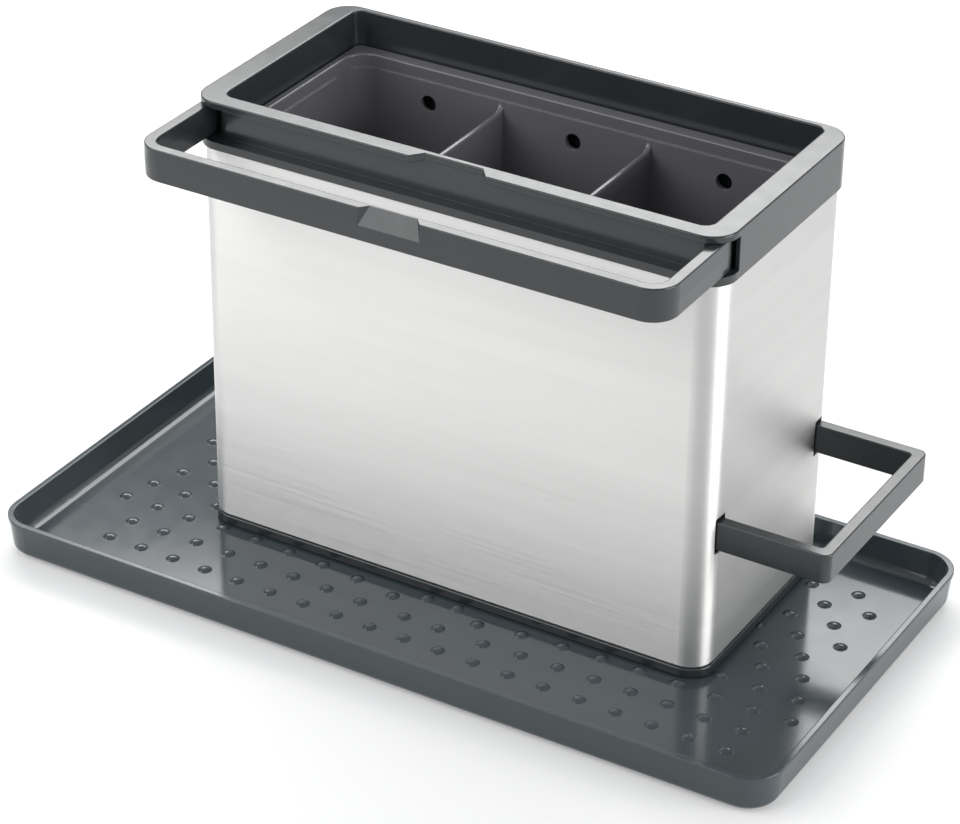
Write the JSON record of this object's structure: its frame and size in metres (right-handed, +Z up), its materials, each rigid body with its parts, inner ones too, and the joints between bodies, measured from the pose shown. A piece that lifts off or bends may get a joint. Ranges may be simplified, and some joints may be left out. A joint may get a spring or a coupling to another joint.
{
  "type": "kitchen sink caddy",
  "caption": "Steel-clad sink caddy with a divided lift-out cup, a pull-out towel rail and a pull-out side loop, standing in a drip tray with raised domes.",
  "frame": {"origin": "middle of the drip tray, on the surface that it stands on", "axes": "+Z up, +X to the right along the tray, +Y to the rear; the towel rail slides out along -Y and the side loop along +X"},
  "size_m": [0.3064, 0.1558, 0.1719],
  "materials": {
    "tray_plastic": "glossy slate moulding",
    "body_plastic": "glossy slate moulding",
    "cup_plastic": "glossy slate moulding",
    "sleeve_steel": "fine horizontal brushing",
    "rubber_pads": "matt",
    "screw_steel": "plated"
  },
  "bodies": {
    "tray": {"drip_tray": "tray_plastic", "tray_feet": "rubber_pads"},
    "caddy": {"base_plinth": "body_plastic", "base_pads": "rubber_pads", "base_screws": "screw_steel", "inner_shell": "body_plastic", "body_sleeve": "sleeve_steel", "collar": "body_plastic", "collar_screws": "screw_steel", "loop_guide_front": "body_plastic", "loop_guide_rear": "body_plastic", "loop_guide_screws": "screw_steel"},
    "rail": {"towel_rail": "body_plastic", "rail_stop_pegs": "body_plastic"},
    "loop": {"side_loop": "body_plastic", "loop_crossbar": "body_plastic", "loop_crossbar_screws": "screw_steel"},
    "cup": {"cup_insert": "cup_plastic"}
  },
  "joints": [
    {"name": "caddy_lift", "type": "slide", "parent": "tray", "child": "caddy", "axis": [0, 0, 1], "range_m": [0, 0.04]},
    {"name": "rail_slide", "type": "slide", "parent": "caddy", "child": "rail", "axis": [0, 1, 0], "range_m": [0, 0.0356]},
    {"name": "loop_slide", "type": "slide", "parent": "caddy", "child": "loop", "axis": [-1, 0, 0], "range_m": [0, 0.0357]},
    {"name": "cup_lift", "type": "slide", "parent": "caddy", "child": "cup", "axis": [0, 0, 1], "range_m": [0, 0.1]}
  ]
}
